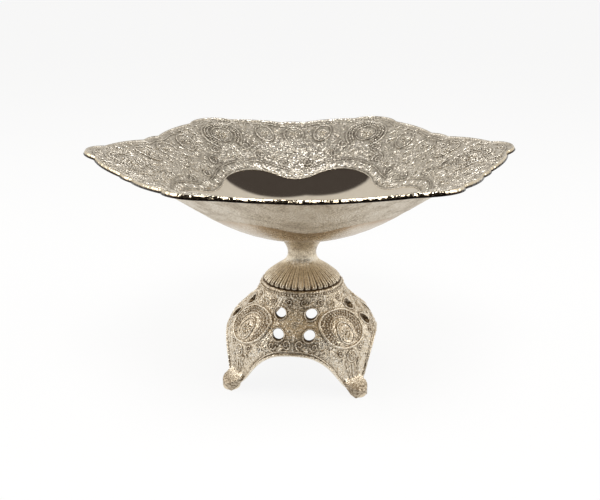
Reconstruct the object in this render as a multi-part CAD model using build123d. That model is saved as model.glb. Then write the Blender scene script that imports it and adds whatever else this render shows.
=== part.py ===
from build123d import *
import os
from math import cos, radians, sin

# Footed fruit bowl: a six lobed dish of plated sheet, screwed down on a cast stem and a cast base.
# Millimetres, +Z up. The origin is on the table under the middle of the bowl, and +X points
# through one of the bowl's six corners.

os.makedirs("parts", exist_ok=True)

# Bowl, pressed and chased from brass sheet
bowl_corner_radius = 150.0
bowl_joint_depth = 8.5
bowl_joint_angle = 7.6
bowl_side_lobe_rise = 2.8
bowl_dip_depth = 19.0
bowl_dip_angle = 26.0
bowl_nub_rise = 1.2
bowl_flat_radius = 15.0
bowl_dish_radius = 55.0
bowl_dish_height = 11.6
bowl_wall_radius = 97.0
bowl_wall_height = 38.8
bowl_flare_inset = 18.0
bowl_flare_height = 57.2
bowl_edge_height = 61.4
bowl_end_slope = 0.08
bowl_sheet = 1.2
trim_allowance = 4.0

# Chased band between the plain centre and the edge
relief_height = 0.8
relief_edge_margin = 5.5
centre_lobe_radius = 83.0
centre_dip_depth = 11.0
centre_turn_depth = 5.4
centre_lobe_half_angle = 17.0

# Raised work on the band: a horseshoe at each corner, an oval to each side of it and a shield
# in the middle of each side, all with a round boss inside
chased_rise = 0.7
chased_line_width = 1.6
horseshoe_reach = 119.0
horseshoe_radius = 17.2
horseshoe_boss_radius = 6.0
horseshoe_mouth_half_width = 11.5
oval_reach = 111.0
oval_side = 36.0
oval_long_radius = 10.2
oval_short_radius = 7.4
oval_boss_radius = 4.2
shield_reach = 114.0
shield_radius = 8.8
shield_tip_reach = 94.0
shield_boss_radius = 4.4

# Border wire, a grooved strip soldered over the bowl's edge
border_width = 2.8
border_cover = 0.9
border_overhang = 1.0

# Stem casting
stem_height = 34.2
stem_lip_radius = 28.0
stem_lip_height = 1.6
stem_bell_radius = 22.2
stem_bell_height = 9.0
stem_waist_radius = 13.8
stem_waist_height = 13.6
stem_neck_radius = 10.3
stem_neck_height = 19.2
stem_top_radius = 17.0
stem_top_edge = 1.2
stem_lip_lean = 0.75
stem_rim_flare = 0.8
stem_wall = 2.4
stem_core_height = 10.4
flute_count = 36
flute_radius = 0.8
flute_bow = 0.4

# Base casting
base_height = 69.0
base_top_radius = 29.0
base_top_thickness = 3.0
base_shoulder_radius = 37.0
base_shoulder_height = 54.0
base_belly_radius = 50.1
base_belly_height = 42.0
base_waist_radius = 55.8
base_waist_height = 30.0
base_leg_radius = 58.0
base_leg_height = 16.0
base_foot_radius = 60.5
base_wall = 2.6
base_core_foot_radius = 52.0
base_turn = -10.6

# Toes, the rounded ends that the legs stand on
toe_centre_radius = 61.5
toe_half_width = 8.0
toe_tip_height = 4.2
toe_instep_radius = 62.5
toe_instep_height = 9.5
toe_heel_radius = 55.0
toe_flat_radius = 67.0
toe_nose_round = 1.2
toe_ankle_lean = 0.2
toe_tip_lean = 0.6

# Arches between the legs, as half widths and heights
arch_height = 31.7
arch_crown_half_width = 14.5
arch_crown_height = 29.5
arch_haunch_half_width = 27.5
arch_haunch_height = 19.2
arch_foot_half_width = 42.6
arch_drop = 5.0

# Piercings in each panel and the raised shell at each corner
piercing_offset = 10.8
piercing_width = 8.0
piercing_height = 6.4
piercing_upper_z = 54.8
piercing_lower_z = 43.7
shell_centre_z = 44.5
shell_half_width = 18.3
shell_half_height = 11.7
shell_line_width = 2.4
shell_boss_radius = 6.3
shell_boss_drop = 2.5
shell_rise = 0.9

# Fixings on the axis
rod_radius = 3.0
rod_clearance = 0.3
thread_clearance = 0.05
rod_end_below_nut = 3.0
boss_radius = 14.0
boss_thickness = 3.0
boss_hub_radius = 6.0
boss_hub_length = 8.0
boss_tap_depth = 9.5
boss_clearance = 0.2
seat_clearance = 0.2
plate_radius = 15.0
plate_thickness = 2.0
washer_radius = 5.6
washer_thickness = 1.6
washer_gap = 1.0
washer_gap_slant = 30.0
nut_across_flats = 10.0
nut_thickness = 5.0

lobes = 6
legs = 4
sector = 360 / lobes

# Heights that follow from the stack of pieces
stem_top = base_height + stem_height
bowl_bottom = stem_top + seat_clearance
boss_bottom = bowl_bottom - boss_thickness
plate_bottom = base_height - base_top_thickness - plate_thickness
washer_bottom = plate_bottom - washer_thickness
nut_bottom = washer_bottom - nut_thickness


def polar(radius, angle):
    """A point in plan at a radius and an angle in degrees."""
    return (radius * cos(radians(angle)), radius * sin(radians(angle)))


def disc(radius, low, high):
    """An upright cylinder on the axis between two heights."""
    return Pos(0, 0, low) * Cylinder(radius, high - low, align=(Align.CENTER, Align.CENTER, Align.MIN))


def prism(face, low, high):
    """A face in plan pulled up between two heights."""
    return Pos(0, 0, low) * extrude(face, high - low, dir=(0, 0, 1))


def turned(lines):
    """A solid turned from a closed outline in the XZ plane."""
    return revolve(make_face(lines), Axis.Z)


def edge_outline(inset):
    """The bowl's scalloped edge: a corner lobe, two side lobes and a small nub to each side."""
    corner = bowl_corner_radius - inset
    joint = corner - bowl_joint_depth
    dip = corner - bowl_dip_depth
    arcs = []
    for k in range(lobes):
        a = k * sector
        joint_a = polar(joint, a - bowl_joint_angle)
        joint_b = polar(joint, a + bowl_joint_angle)
        dip_a = polar(dip, a + bowl_dip_angle)
        dip_b = polar(dip, a + sector - bowl_dip_angle)
        joint_c = polar(joint, a + sector - bowl_joint_angle)
        arcs.append(ThreePointArc(joint_a, polar(corner, a), joint_b))
        arcs.append(ThreePointArc(joint_b, bulged(joint_b, dip_a), dip_a))
        arcs.append(ThreePointArc(dip_a, polar(dip + bowl_nub_rise, a + sector / 2), dip_b))
        arcs.append(ThreePointArc(dip_b, bulged(dip_b, joint_c), joint_c))
    return make_face(arcs)


def bulged(start, end):
    """The middle of a side lobe, pushed out from its chord."""
    middle = (Vector(*start) + Vector(*end)) * 0.5
    return middle + middle.normalized() * bowl_side_lobe_rise


def centre_outline():
    """The edge of the plain centre: six lobes that point at the corners."""
    turn = centre_lobe_radius - centre_turn_depth
    dip = centre_lobe_radius - centre_dip_depth
    arcs = []
    for k in range(lobes):
        a = k * sector
        start = polar(turn, a - centre_lobe_half_angle)
        end = polar(turn, a + centre_lobe_half_angle)
        following = polar(turn, a + sector - centre_lobe_half_angle)
        arcs.append(ThreePointArc(start, polar(centre_lobe_radius, a), end))
        arcs.append(ThreePointArc(end, polar(dip, a + sector / 2), following))
    return make_face(arcs)


def dish(below, above):
    """A round flared dish between two levels measured up from the sheet's underside."""
    points = [
        (bowl_flat_radius, 0),
        (bowl_dish_radius, bowl_dish_height),
        (bowl_wall_radius, bowl_wall_height),
        (bowl_corner_radius - bowl_flare_inset, bowl_flare_height),
        (bowl_corner_radius + trim_allowance, bowl_edge_height),
    ]
    low = [(r, 0, bowl_bottom + h + below) for r, h in points]
    high = [(r, 0, bowl_bottom + h + above) for r, h in points]
    slopes = [(1, 0, bowl_end_slope), (1, 0, bowl_end_slope)]
    centre_low = (0, 0, bowl_bottom + below)
    centre_high = (0, 0, bowl_bottom + above)
    return turned([
        Line(centre_low, low[0]),
        Spline(*low, tangents=slopes),
        Line(low[-1], high[-1]),
        Spline(*high, tangents=slopes),
        Line(high[0], centre_high),
        Line(centre_high, centre_low),
    ])


def make_bowl():
    """Sheet dish trimmed to the scalloped edge, thicker where it is chased."""
    band = edge_outline(relief_edge_margin) - centre_outline()
    sheet = dish(0, bowl_sheet) & trimmer(edge_outline(border_overhang))
    chased = dish(bowl_sheet / 2, bowl_sheet + relief_height) & trimmer(band)
    raised = dish(bowl_sheet, bowl_sheet + relief_height + chased_rise) & trimmer(raised_work())
    return sheet + chased + raised


def raised_work():
    """The horseshoes, ovals and shields in plan, as narrow lines round their bosses."""
    mouth = Polygon(
        (0, 0),
        (-horseshoe_radius, horseshoe_mouth_half_width),
        (-horseshoe_radius, -horseshoe_mouth_half_width),
        align=None,
    )
    horseshoe = Circle(horseshoe_radius) - Circle(horseshoe_radius - chased_line_width) - mouth
    horseshoe += Circle(horseshoe_boss_radius)
    oval = Ellipse(oval_long_radius, oval_short_radius)
    oval -= Ellipse(oval_long_radius - chased_line_width, oval_short_radius - chased_line_width)
    oval += Circle(oval_boss_radius)
    shield = shield_outline(0) - shield_outline(chased_line_width) + Circle(shield_boss_radius)
    faces = []
    for k in range(lobes):
        corner = Rot(0, 0, k * sector)
        faces += (corner * Pos(horseshoe_reach, 0) * horseshoe).faces()
        faces += (corner * Pos(oval_reach, oval_side) * oval).faces()
        faces += (corner * Pos(oval_reach, -oval_side) * oval).faces()
        faces += (Rot(0, 0, (k + 0.5) * sector) * Pos(shield_reach, 0) * shield).faces()
    return Sketch() + faces


def shield_outline(inset):
    """A round head that runs to a point towards the middle of the bowl."""
    radius = shield_radius - inset
    tip = shield_tip_reach - shield_reach + 2 * inset
    foot = Polygon((0, radius), (tip, 0), (0, -radius), align=None)
    return Circle(radius) + foot


def trimmer(face):
    """A tall prism that trims the dish to an outline in plan."""
    top = bowl_bottom + bowl_edge_height + bowl_sheet + relief_height
    return prism(face, bowl_bottom - trim_allowance, top + trim_allowance)


def make_border(bowl):
    """Grooved strip along the edge, with the sheet standing in its groove."""
    along_edge = edge_outline(0) - edge_outline(border_width)
    strip = dish(-border_cover, bowl_sheet + border_cover) & trimmer(along_edge)
    return strip - bowl


def set_back(line, k, wall):
    """Point k of an outer line, moved in square to the line by a wall."""
    along = Vector(*line[k + 1]) - Vector(*line[k - 1])
    inwards = Vector(-abs(along.Z), 0, -abs(along.X)).normalized()
    point = Vector(*line[k]) + inwards * wall
    return (point.X, 0, point.Z)


def make_stem():
    """Fluted bell and waisted neck, bored for the rod and recessed for the boss."""
    bell = [
        (stem_lip_radius, 0, base_height + stem_lip_height),
        (stem_bell_radius, 0, base_height + stem_bell_height),
        (stem_waist_radius, 0, base_height + stem_waist_height),
    ]
    neck = (stem_neck_radius, 0, base_height + stem_neck_height)
    rim = (stem_top_radius, 0, stem_top - stem_top_edge)
    body = turned([
        Line((0, 0, base_height), (stem_lip_radius, 0, base_height)),
        Line((stem_lip_radius, 0, base_height), bell[0]),
        Spline(*bell, neck, tangents=[(-stem_lip_lean, 0, 1), (0, 0, 1)]),
        Spline(neck, rim, tangents=[(0, 0, 1), (stem_rim_flare, 0, 1)]),
        Line(rim, (stem_top_radius, 0, stem_top)),
        Line((stem_top_radius, 0, stem_top), (0, 0, stem_top)),
        Line((0, 0, stem_top), (0, 0, base_height)),
    ])
    ceiling = base_height + stem_core_height
    foot = (stem_lip_radius - stem_wall, 0, base_height)
    crown = (stem_waist_radius - stem_wall, 0, ceiling)
    hollow = turned([
        Line((0, 0, base_height), foot),
        Spline(foot, set_back(bell, 1, stem_wall), crown),
        Line(crown, (0, 0, ceiling)),
        Line((0, 0, ceiling), (0, 0, base_height)),
    ])
    hub_floor = boss_bottom - boss_hub_length - seat_clearance
    body -= hollow
    body -= disc(rod_radius + rod_clearance, base_height, stem_top)
    body -= disc(boss_hub_radius + boss_clearance, hub_floor, stem_top)
    body -= disc(boss_radius + boss_clearance, boss_bottom, stem_top)
    for cutter in flutes(bell):
        body -= cutter
    return body


def flutes(bell):
    """Round grooves that run down the bell to its lip."""
    start, middle, end = (Vector(*point) for point in bell)
    outwards = Vector(start.Z - end.Z, 0, end.X - start.X).normalized()
    path = ThreePointArc(start, middle - outwards * flute_bow, end)
    round_bar = sweep(Plane(path @ 0, z_dir=path % 0) * Circle(flute_radius), path)
    return [Rot(0, 0, k * 360 / flute_count) * round_bar for k in range(flute_count)]


def dome(proud):
    """Solid dome under the base's outer line, standing proud of it by the given amount."""
    return turned_under(dome_line(proud))


def dome_line(proud):
    """The base's outer line from its top down to the table."""
    return [
        (base_top_radius + proud, 0, base_height),
        (base_shoulder_radius + proud, 0, base_shoulder_height),
        (base_belly_radius + proud, 0, base_belly_height),
        (base_waist_radius + proud, 0, base_waist_height),
        (base_leg_radius + proud, 0, base_leg_height),
        (base_foot_radius + proud, 0, 0),
    ]


def dome_core():
    """The hollow of the dome, a wall inside its outer line and narrower at the feet."""
    outer = dome_line(0)
    top = (base_top_radius - base_wall, 0, base_height - base_top_thickness)
    inner = [set_back(outer, k, base_wall) for k in range(1, len(outer) - 1)]
    return turned_under([top, *inner, (base_core_foot_radius, 0, 0)])


def turned_under(line):
    """A solid turned from everything between the axis, the table and a line that comes down."""
    top = (0, 0, line[0][2])
    foot = line[-1]
    return turned([Line(top, line[0]), Spline(*line), Line(foot, (0, 0, 0)), Line((0, 0, 0), top)])


def toe():
    """A rounded toe on +X, cut from a turned lip so that it runs out of the leg."""
    tip = (toe_centre_radius + toe_half_width, 0, toe_tip_height)
    ankle = (base_leg_radius - base_wall / 2, 0, base_leg_height)
    instep = (toe_instep_radius, 0, toe_instep_height)
    heel = (toe_heel_radius, 0, 0)
    flat = (toe_flat_radius, 0, 0)
    lip = turned([
        Spline(ankle, instep, tip, tangents=[(toe_ankle_lean, 0, -1), (toe_tip_lean, 0, -1)]),
        ThreePointArc(tip, (tip[0] - toe_nose_round, 0, toe_tip_height / 3), flat),
        Line(flat, heel),
        Line(heel, ankle),
    ])
    return lip & (Pos(toe_centre_radius, 0, 0) * disc(toe_half_width, 0, base_leg_height))


def arch_face():
    """One arch as it is seen from in front, closed well below the table."""
    right = [
        (arch_foot_half_width, 0, 0),
        (arch_haunch_half_width, 0, arch_haunch_height),
        (arch_crown_half_width, 0, arch_crown_height),
        (0, 0, arch_height),
    ]
    left = [(-x, 0, z) for x, _, z in reversed(right[:-1])]
    low_right = (arch_foot_half_width, 0, -arch_drop)
    low_left = (-arch_foot_half_width, 0, -arch_drop)
    return make_face([
        Spline(*right, *left),
        Line(left[-1], low_left),
        Line(low_left, low_right),
        Line(low_right, right[0]),
    ])


def make_base():
    """Domed casting on four legs, pierced in its panels, with a raised shell at each corner."""
    reach = 2 * base_foot_radius
    body = dome(0)
    raised = dome(shell_rise) - body
    for k in range(legs):
        corner = Rot(0, 0, 45 + k * 90) * Pos(0, 0, shell_centre_z) * Rot(0, 90, 0)
        body += raised & (corner * shell_ring(reach))
        body += raised & (corner * Pos(shell_boss_drop, 0, 0) * drum(shell_boss_radius, reach))
    body -= dome_core()
    for k in range(legs):
        body += Rot(0, 0, 45 + k * 90) * toe()
    arch = extrude(arch_face(), reach, both=True)
    body -= arch
    body -= Rot(0, 0, 90) * arch
    for k in range(legs):
        for side in (-1, 1):
            for z in (piercing_upper_z, piercing_lower_z):
                body -= Rot(0, 0, k * 90) * Pos(side * piercing_offset, 0, z) * piercing()
    body -= disc(rod_radius + rod_clearance, 0, base_height)
    return Rot(0, 0, base_turn) * body


def drum(radius, reach):
    """A cylinder that stands on the XY plane."""
    return Cylinder(radius, reach, align=(Align.CENTER, Align.CENTER, Align.MIN))


def shell_ring(reach):
    """An oval tube that stands on the XY plane, for the raised line round a shell."""
    line = Ellipse(shell_half_height, shell_half_width)
    line -= Ellipse(shell_half_height - shell_line_width, shell_half_width - shell_line_width)
    return extrude(line, reach)


def piercing():
    """An oval hole through one panel, drilled outwards from the middle."""
    oval = Plane.XZ * Ellipse(piercing_width / 2, piercing_height / 2)
    return extrude(oval, 2 * base_foot_radius)


def make_boss():
    """Round plate with a tapped hub, brazed under the bowl."""
    body = disc(boss_radius, boss_bottom, bowl_bottom)
    body += disc(boss_hub_radius, boss_bottom - boss_hub_length, boss_bottom)
    hub_end = boss_bottom - boss_hub_length
    return body - disc(rod_radius + thread_clearance, hub_end, hub_end + boss_tap_depth)


def make_rod():
    """Threaded rod from the boss down to below the nut."""
    top = boss_bottom - boss_hub_length + boss_tap_depth
    return disc(rod_radius, nut_bottom - rod_end_below_nut, top)


def ring(outer, inner, low, high):
    """A flat ring on the axis."""
    return disc(outer, low, high) - disc(inner, low, high)


def make_washer():
    """Split spring washer."""
    body = ring(washer_radius, rod_radius + thread_clearance, washer_bottom, plate_bottom)
    split = Pos(washer_radius, 0, washer_bottom) * Rot(washer_gap_slant, 0, 0)
    return body - split * Box(2 * washer_radius, washer_gap, 4 * washer_thickness)


def make_nut():
    """Hexagon nut."""
    hexagon = RegularPolygon(nut_across_flats / 2, 6, major_radius=False)
    body = prism(hexagon, nut_bottom, washer_bottom)
    return body - disc(rod_radius + thread_clearance, nut_bottom, washer_bottom)


bowl = make_bowl()
clamp_plate = ring(plate_radius, rod_radius + rod_clearance, plate_bottom, plate_bottom + plate_thickness)
pieces = {
    "bowl": bowl,
    "rim_border": make_border(bowl),
    "bowl_boss": make_boss(),
    "stem": make_stem(),
    "base": make_base(),
    "tie_rod": make_rod(),
    "clamp_plate": clamp_plate,
    "spring_washer": make_washer(),
    "hex_nut": make_nut(),
}
for name, solid in pieces.items():
    solid.label = name
    export_step(solid, f"parts/{name}.step")
    box = solid.bounding_box()
    print(name, round(solid.volume), box.min, box.max)
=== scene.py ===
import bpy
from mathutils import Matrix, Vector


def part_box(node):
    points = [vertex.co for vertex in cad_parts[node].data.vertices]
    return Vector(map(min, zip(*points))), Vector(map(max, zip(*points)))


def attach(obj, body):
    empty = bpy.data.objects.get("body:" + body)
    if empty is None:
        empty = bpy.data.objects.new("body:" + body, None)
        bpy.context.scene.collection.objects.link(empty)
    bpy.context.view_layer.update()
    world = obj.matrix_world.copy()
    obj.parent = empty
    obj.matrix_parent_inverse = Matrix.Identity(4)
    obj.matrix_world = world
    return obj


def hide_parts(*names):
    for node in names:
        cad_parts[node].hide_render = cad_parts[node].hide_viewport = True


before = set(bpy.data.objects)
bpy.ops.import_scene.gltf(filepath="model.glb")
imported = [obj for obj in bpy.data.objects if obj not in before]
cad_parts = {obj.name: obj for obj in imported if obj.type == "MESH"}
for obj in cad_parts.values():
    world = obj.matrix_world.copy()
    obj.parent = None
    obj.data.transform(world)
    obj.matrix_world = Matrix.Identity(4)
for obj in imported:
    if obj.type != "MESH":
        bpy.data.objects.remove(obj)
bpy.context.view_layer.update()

from math import cos, degrees, pi, radians, sin

import bpy
import bmesh
import numpy as np
from mathutils.kdtree import KDTree

# The base: one hollow brass casting, silver plated. A thin dome on four legs, pierced in its
# panels, with a beaded oval shell and a rosette at each corner. It stands on four pointed toes.
base_turn = -10.6
base_top = 69.0
dome_points = [(29.0, 69.0), (37.0, 54.0), (50.1, 42.0), (55.8, 30.0), (58.0, 16.0), (60.5, 0.0)]
dome_wall = 2.6
sole_inner_radius = 52.0
rod_hole_radius = 3.3
toe_points = [(56.7, 16.0), (62.5, 9.5), (69.5, 4.2), (68.6, 1.4), (67.0, 0.0)]
toe_centre = 61.5
toe_radius = 8.0
arch_points = [(44.6, 0.0), (41.0, 2.6), (35.4, 8.2), (27.5, 19.2), (14.5, 29.5), (0.0, 31.7)]
piercing_side = 10.8
piercing_levels = (54.8, 43.7)
piercing_half_width = 4.0
piercing_half_height = 3.2
shell_level = 44.5
shell_half_width = 18.3
shell_half_height = 11.7
roundel_level = 42.0
roundel_radius = 6.3
daisy_level = 58.9
knee_level = 27.3
fan_side = 17.4
fan_level = 35.7
line_height, field_height, roundel_height = 0.6, 0.25, 0.55
knee_height, daisy_height, wave_height = 0.75, 0.4, 0.16


def line_through(points, start=None, end=None, count=400):
    """A smooth line through points, with unit slopes given or left free at its two ends."""
    p = np.array(points, float)
    s = np.concatenate([[0], np.cumsum(np.hypot(*np.diff(p, axis=0).T))])
    n, h = len(p), np.diff(s)
    m, rhs = np.zeros((n, n)), np.zeros((n, 2))
    for i in range(1, n - 1):
        m[i, i - 1], m[i, i], m[i, i + 1] = h[i], 2 * (h[i - 1] + h[i]), h[i - 1]
        rhs[i] = 3 * (h[i] * (p[i] - p[i - 1]) / h[i - 1] + h[i - 1] * (p[i + 1] - p[i]) / h[i])
    for row, other, gap, slope in ((0, 1, h[0], start), (-1, -2, h[-1], end)):
        if slope is None:
            m[row, row], m[row, other] = 2, 1
            rhs[row] = 3 * (p[max(row, other)] - p[min(row, other)]) / gap
        else:
            m[row, row] = 1
            rhs[row] = np.array(slope) / np.hypot(*slope)
    d = np.linalg.solve(m, rhs)
    at = np.linspace(0, s[-1], count)
    k = np.clip(np.searchsorted(s, at, side="right") - 1, 0, n - 2)
    t = ((at - s[k]) / h[k])[:, None]
    step = h[k][:, None]
    return (p[k] * (1 + 2 * t) * (1 - t) ** 2 + d[k] * step * t * (1 - t) ** 2
            + p[k + 1] * t * t * (3 - 2 * t) + d[k + 1] * step * t * t * (t - 1))


def smooth(x, low, high):
    """0 below low, 1 above high, and an even slope between them."""
    t = np.clip((x - low) / (high - low), 0, 1)
    return t * t * (3 - 2 * t)


def mound(distance, reach):
    """A rounded hump of height 1 that dies out at its reach."""
    return (1 - smooth(distance, 0, reach))


dome_line = line_through(dome_points)
dome_z, dome_r = dome_line[::-1, 1], dome_line[::-1, 0]
toe_line = line_through(toe_points, start=(0.2, -1), end=(-1, -0.6))


def corner_coordinates(angle, z):
    """Sideways and upwards from the nearest corner of the base, seen square on."""
    turn = (angle - base_turn) % 90 - 45
    return np.interp(z, dome_z, dome_r) * np.sin(np.radians(turn)), z - shell_level


def ringed(radius, angle, z):
    """Points at a radius, an angle in degrees and a height."""
    a = np.radians(angle)
    return np.stack([radius * np.cos(a), radius * np.sin(a), a * 0 + z], -1)


def base_relief(angle, z):
    """How far the casting's raised work stands proud of its plain dome."""
    u, v = corner_coordinates(angle, z)
    shell = np.hypot(u / shell_half_width, v / shell_half_height)
    line = smooth(shell, 0.8, 0.86) * (1 - smooth(shell, 0.97, 1.03))
    field = 1 - smooth(shell, 0.8, 0.86)
    roundel = 1 - smooth(np.hypot(u, z - roundel_level), 5.4, 6.8)
    knee = mound(np.hypot(u, z - knee_level), 6.0)
    daisy = 1 - smooth(np.hypot(u, z - daisy_level), 3.8, 5.0)
    waves = np.sin(u * 1.9 + z * 1.3) * np.sin(z * 1.7 - u * 0.8) * (1 - smooth(z, 66, base_top))
    return (line_height * line + field_height * field + roundel_height * roundel + knee_height * knee
            + daisy_height * daisy + wave_height * waves)


def on_base(azimuth, u, z, side=1):
    """Points on the casting, u sideways and z up on the side that faces an azimuth, and its slope."""
    u, z = np.broadcast_arrays(side * np.asarray(u, float), np.asarray(z, float))
    r = np.interp(z, dome_z, dome_r)
    angle = azimuth + base_turn + np.degrees(np.arcsin(np.clip(u / r, -1, 1)))
    slope = np.interp(z, (dome_z[1:] + dome_z[:-1]) / 2, np.diff(dome_r) / np.diff(dome_z))
    a = np.radians(angle)
    normal = np.stack([np.cos(a), np.sin(a), -slope], -1)
    normal /= np.linalg.norm(normal, axis=-1, keepdims=True)
    return ringed(r + base_relief(angle, z), angle, z), normal


def repeated(on_piece, turns, azimuth, u, v, mirrored):
    """Where a place or a line falls on each side of a piece, and its mirror image where asked."""
    return [on_piece(azimuth + 360 / turns * k, u, v, side)
            for k in range(turns) for side in ((1, -1) if mirrored else (1,))]


def four(azimuth, u, z, mirrored=False):
    """One drawn line on the four sides of the base."""
    return [line for line, _ in repeated(on_base, 4, azimuth, u, z, mirrored)]


def spots(store, on_piece, turns, azimuth, u, v, size, lie=0.0, mirrored=False):
    """Keeps places for flowers or leaves, lie being the way they point, in degrees from +u to +v."""
    tip_u, tip_v = u + 0.2 * np.cos(radians(lie)), v + 0.2 * np.sin(radians(lie))
    for (place, normal), (tip, _) in zip(repeated(on_piece, turns, azimuth, u, v, mirrored),
                                         repeated(on_piece, turns, azimuth, tip_u, tip_v, mirrored)):
        store.append((place, normal, tip - place, size))


def arc(centre, radius, start, end, step=0.7):
    """Points on an arc, its angles from straight up, in degrees."""
    count = max(4, int(abs(radians(end - start)) * radius / step))
    a = np.radians(np.linspace(start, end, count))
    return centre[0] + radius * np.sin(a), centre[1] + radius * np.cos(a)


def curl(centre, radius, start, turns, end_radius, step=0.6):
    """A scroll that winds in towards its middle."""
    count = int(abs(turns) * pi * (radius + end_radius) / step)
    a = np.radians(start) + np.linspace(0, turns * 2 * pi, count)
    r = np.linspace(radius, end_radius, count)
    return centre[0] + r * np.sin(a), centre[1] + r * np.cos(a)


arch_line = line_through(arch_points + [(-x, z) for x, z in arch_points[-2::-1]], count=120)
arch_edge = arch_line[arch_line[:, 1] > 3.0]

base_ridges, base_beads, base_dots, base_leaves = [], [], [], []


def ridge(store, lines, half_width, end_width=None):
    """Keeps lines for a raised ridge, tapered where its end is finer than its start."""
    for line in lines:
        width = np.linspace(half_width, half_width if end_width is None else end_width, len(line))
        store.append((line, width))


def oval_line(share, start=0, end=360):
    """Part of an oval round the shell, as a share of its size, its angles from straight up."""
    a = np.radians(np.linspace(start, end, 90))
    return share * shell_half_width * np.sin(a), shell_level + share * shell_half_height * np.cos(a)


for outline, width in ((oval_line(0.93), 0.8), (oval_line(0.56, -112, 112), 0.42),
                       (arc((0, roundel_level), roundel_radius, 0, 360), 0.6),
                       (arc((0, knee_level), 3.9, 0, 360), 0.55)):
    ridge(base_ridges, four(45, *outline), width)
base_beads += four(45, *oval_line(0.8, -148, 148)) + four(45, *oval_line(0.68, -128, 128))
shin = np.linspace(22.5, 8.5, 20)
ridge(base_ridges, four(45, shin * 0, shin), 0.9, 0.5)
ridge(base_ridges, four(45, np.linspace(5.6, 2.6, 16), np.linspace(24, 11, 16), mirrored=True), 0.5, 0.3)
ridge(base_ridges, four(0, arch_edge[:, 0] * 0.99, arch_edge[:, 1] + 0.7), 0.9)
arch_crown = arch_edge[arch_edge[:, 1] > 14]
ridge(base_ridges, four(0, arch_crown[:, 0] * 0.97, arch_crown[:, 1] + 3.1), 0.45)
full_turn = np.linspace(0, 2 * pi, 30)
for piercing_level in piercing_levels:
    for sign in (1, -1):
        ring_u = sign * piercing_side + (piercing_half_width + 0.5) * np.cos(full_turn)
        ring_z = piercing_level + (piercing_half_height + 0.5) * np.sin(full_turn)
        ridge(base_ridges, four(0, ring_u, ring_z), 0.5)
for azimuth, centre, radius, start, turns, tip_radius, width, fine_width in (
        (0, (4.6, 38.8), 3.2, 180, 1.2, 0.7, 0.55, 0.35), (0, (17.8, 50.2), 2.8, 0, 1.2, 0.7, 0.5, 0.35),
        (0, (5.2, 62.0), 2.4, 90, 1.1, 0.6, 0.45, 0.3), (0, (14.5, 37.2), 2.8, 270, -1.1, 0.7, 0.5, 0.3),
        (45, (9.0, 30.6), 2.4, 60, -1.2, 0.6, 0.5, 0.3), (45, (8.2, 60.6), 2.2, 300, 1.1, 0.6, 0.45, 0.3)):
    scroll = curl(centre, radius, start, turns, tip_radius)
    ridge(base_ridges, four(azimuth, *scroll, mirrored=True), width, fine_width)
around = np.linspace(0, 360, 180)
base_beads.append(np.array([on_base(azimuth, 0.0, 66.4)[0] for azimuth in around]))
for azimuth, u, z, size in ((45, 0, roundel_level, 4.9), (45, 0, daisy_level, 4.4), (45, 0, knee_level, 3.0),
                            (45, fan_side, fan_level, 1.7), (0, 0, 49.6, 3.2), (0, 0, 60.6, 2.2)):
    spots(base_dots, on_base, 4, azimuth, u, z, size, 90, u > 0)
for azimuth, centre, radius, size, first_lie, gap in ((45, (fan_side, fan_level), 3.9, 2.9, -160, 28),
                                                      (0, (24.5, 29.8), 3.2, 2.4, 30, 24)):
    for lie in first_lie + gap * np.arange(6):
        u, z = centre + radius * np.array([np.cos(radians(lie)), np.sin(radians(lie))])
        spots(base_leaves, on_base, 4, azimuth, u, z, size, lie, True)
panel_leaves = ((0, 56.0, 2.8, 90), (0, 43.4, 2.8, -90), (0, 36.2, 2.0, -90), (3.4, 52.6, 2.0, 40),
                (3.4, 46.6, 2.0, -40), (8.4, 35.6, 2.6, 150), (17.4, 56.6, 2.2, 60), (10.8, 49.3, 2.4, 0),
                (15.8, 43.0, 2.0, 100), (7.6, 59.8, 2.2, 20), (11.6, 61.0, 2.2, 140), (3.2, 65.2, 1.8, 70),
                (13.6, 64.6, 1.8, 110))
corner_leaves = ((5.4, 22.2, 2.4, 60), (2.7, 20.0, 2.4, -65), (8.6, 25.4, 2.4, 120), (2.7, 15.8, 2.3, -65),
                 (2.4, 11.8, 2.0, -70), (5.6, 17.6, 2.2, -70), (6.2, 56.6, 2.2, 15), (4.4, 63.4, 1.9, 60),
                 (9.6, 58.0, 2.0, 0), (10.6, 64.0, 1.8, 30))
for azimuth, table in ((0, panel_leaves), (45, corner_leaves)):
    for u, z, size, lie in table:
        spots(base_leaves, on_base, 4, azimuth, u, z, size, lie, u > 0)


def finder(places):
    """What finds the nearest of these places."""
    nearest = KDTree(len(places))
    for i, place in enumerate(places):
        nearest.insert(place, i)
    nearest.balance()
    return nearest


def clear_of(places, drawn, gap):
    """Which places lie at least a gap away from everything that is drawn already."""
    nearest = finder(drawn)
    return [k for k, place in enumerate(places) if nearest.find(place)[2] > gap]


def drawn_places(lines, rows, marks):
    """Every point that the raised lines, beads, flowers and leaves pass through."""
    return np.concatenate([line for line, _ in lines] + rows + [np.array([mark[0] for mark in marks])])


def in_metal(azimuth, z, margin):
    """True where a place on the base lies clear of arches and piercings."""
    turn = (azimuth + 45) % 90 - 45
    x = np.abs(np.interp(z, dome_z, dome_r) * np.sin(np.radians(turn)))
    ends = arch_line[arch_line[:, 0] >= 0]
    clear = z > np.interp(x, ends[::-1, 0], ends[::-1, 1], right=0.0) + margin
    for level in piercing_levels:
        clear &= np.hypot((x - piercing_side) / (piercing_half_width + margin),
                          (z - level) / (piercing_half_height + margin)) > 1
    return clear


chance = np.random.default_rng(11)


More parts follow.
